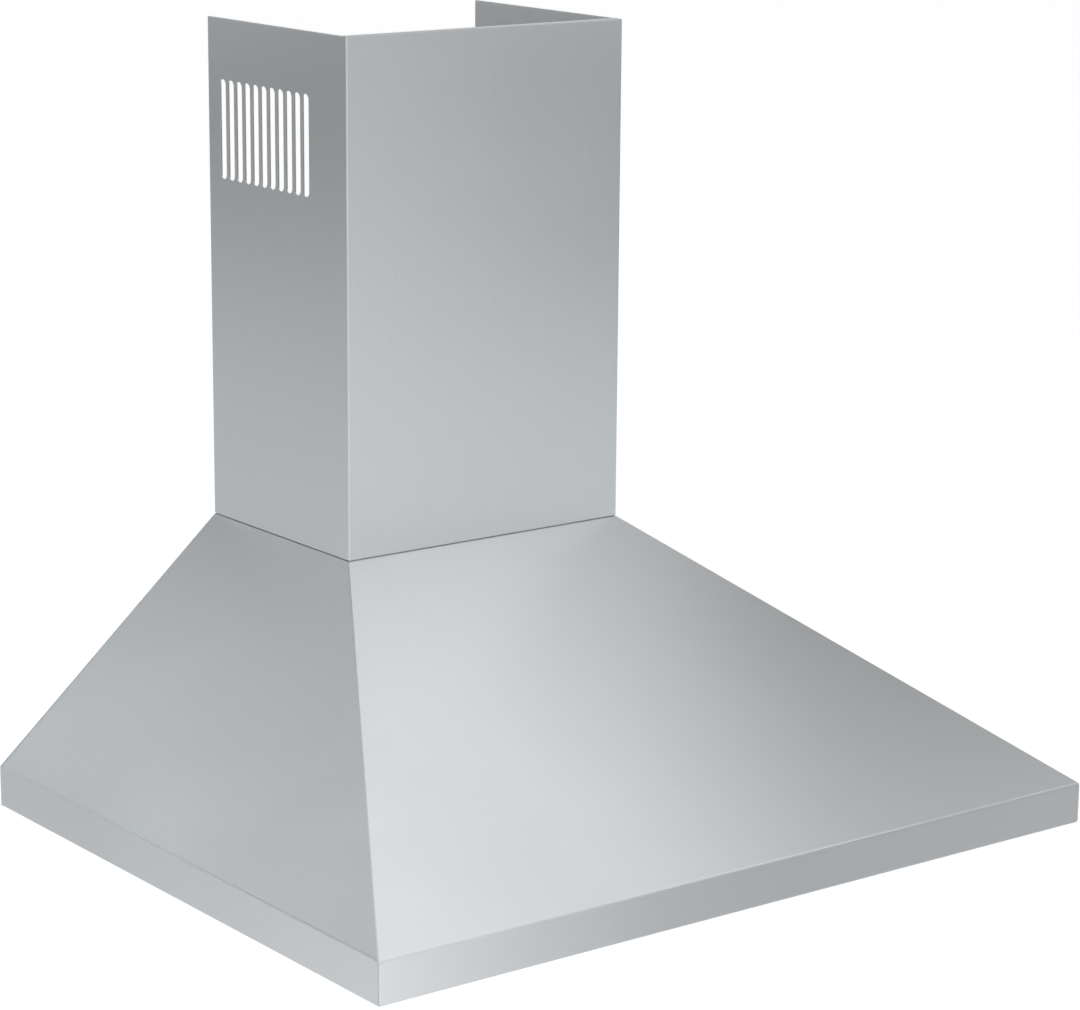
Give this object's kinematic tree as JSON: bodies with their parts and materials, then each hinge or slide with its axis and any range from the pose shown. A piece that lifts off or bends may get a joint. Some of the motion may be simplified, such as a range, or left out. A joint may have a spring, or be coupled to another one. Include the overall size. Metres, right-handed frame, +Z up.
{
  "type": "range hood",
  "caption": "Wall-mounted pyramid range hood in brushed steel with a telescoping chimney cover, drop-down grease filters, lamps and a blower inside.",
  "frame": {"origin": "centre of the four wall fixing holes, on the wall plane", "axes": "+Z up, +Y into the wall, +X to the right as seen from the room"},
  "size_m": [0.6, 0.478, 0.5523],
  "materials": {
    "stainless": "brushed along the sheet, satin",
    "galvanised": "zinc coated, matt",
    "dark_steel": "dark, matt",
    "screws": "zinc plated, bright",
    "filter_alloy": "satin",
    "mesh_alloy": "bright expanded metal",
    "lamp_trim": "polished",
    "lens": "frosted",
    "lamp_cup": "matt",
    "black_plastic": "fine texture",
    "grey_plastic": "fine texture",
    "motor_paint": "satin",
    "iron_core": "laminated",
    "bronze": "sintered",
    "circuit_board": "lacquered",
    "capacitor_can": "smooth"
  },
  "bodies": {
    "hood": {"canopy_front": "stainless", "canopy_side_left": "stainless", "canopy_side_right": "stainless", "rim_side_left": "stainless", "rim_side_right": "stainless", "lower_cover": "stainless", "lamp_panel": "stainless", "back_panel": "galvanised", "filter_support": "galvanised", "scroll_left": "galvanised", "scroll_right": "galvanised", "motor_spider": "galvanised", "capacitor_clip": "galvanised", "neck_plate": "dark_steel", "cover_screws": "screws", "blower_screws": "screws", "spider_screws": "screws", "junction_lid_screws": "screws", "flap_pin": "screws", "lamp_bezel_left": "lamp_trim", "lamp_bezel_right": "lamp_trim", "lamp_lens_left": "lens", "lamp_lens_right": "lens", "lamp_body_left": "lamp_cup", "lamp_body_right": "lamp_cup", "control_plate": "black_plastic", "outlet_adapter": "black_plastic", "junction_box": "black_plastic", "junction_lid": "black_plastic", "cable_gland": "black_plastic", "switch_box": "grey_plastic", "motor_housing": "motor_paint", "motor_stator": "iron_core", "motor_bearings": "bronze", "control_board": "circuit_board", "capacitor": "capacitor_can"},
    "upper_cover": {"upper_cover": "stainless"},
    "filter_left": {"filter_frame_left": "filter_alloy", "filter_mesh_left": "mesh_alloy", "latch_spring_left": "screws"},
    "filter_right": {"filter_frame_right": "filter_alloy", "filter_mesh_right": "mesh_alloy", "latch_spring_right": "screws"},
    "latch_left": {"filter_latch_left": "grey_plastic"},
    "latch_right": {"filter_latch_right": "grey_plastic"},
    "speed_slider": {"speed_slider": "grey_plastic"},
    "light_slider": {"light_slider": "grey_plastic"},
    "rotor": {"impeller": "galvanised", "blades_left": "galvanised", "blades_right": "galvanised", "end_ring_left": "galvanised", "end_ring_right": "galvanised", "motor_shaft": "screws", "motor_rotor_core": "iron_core"},
    "flap_front": {"flap_front": "grey_plastic"},
    "flap_rear": {"flap_rear": "grey_plastic"}
  },
  "joints": [
    {"name": "upper_cover_slide", "type": "slide", "parent": "hood", "child": "upper_cover", "axis": [0, 0, 1], "range_m": [0, 0.32]},
    {"name": "filter_left_hinge", "type": "hinge", "parent": "hood", "child": "filter_left", "pos_m": [-0.145, -0.038, -0.0986], "axis": [1, 0, 0], "range_deg": [0, 75]},
    {"name": "latch_left_slide", "type": "slide", "parent": "filter_left", "child": "latch_left", "axis": [0, 1, 0], "range_m": [0, 0.006], "stiffness_N_per_m": 150, "springref_m": -0.003, "deforming": ["latch_spring_left"]},
    {"name": "filter_right_hinge", "type": "hinge", "parent": "hood", "child": "filter_right", "pos_m": [0.145, -0.038, -0.0986], "axis": [1, 0, 0], "range_deg": [0, 75]},
    {"name": "latch_right_slide", "type": "slide", "parent": "filter_right", "child": "latch_right", "axis": [0, 1, 0], "range_m": [0, 0.006], "stiffness_N_per_m": 150, "springref_m": -0.003, "deforming": ["latch_spring_right"]},
    {"name": "speed_slide", "type": "slide", "parent": "hood", "child": "speed_slider", "axis": [1, 0, 0], "range_m": [0, 0.03]},
    {"name": "light_slide", "type": "slide", "parent": "hood", "child": "light_slider", "axis": [1, 0, 0], "range_m": [0, 0.012]},
    {"name": "rotor_spin", "type": "hinge", "parent": "hood", "child": "rotor", "pos_m": [0, -0.112, 0.015], "axis": [1, 0, 0], "continuous": true},
    {"name": "flap_front_hinge", "type": "hinge", "parent": "hood", "child": "flap_front", "pos_m": [0, -0.088, 0.1283], "axis": [-1, 0, 0], "range_deg": [0, 80]},
    {"name": "flap_rear_hinge", "type": "hinge", "parent": "hood", "child": "flap_rear", "pos_m": [0, -0.088, 0.1283], "axis": [1, 0, 0], "range_deg": [0, 80]}
  ]
}
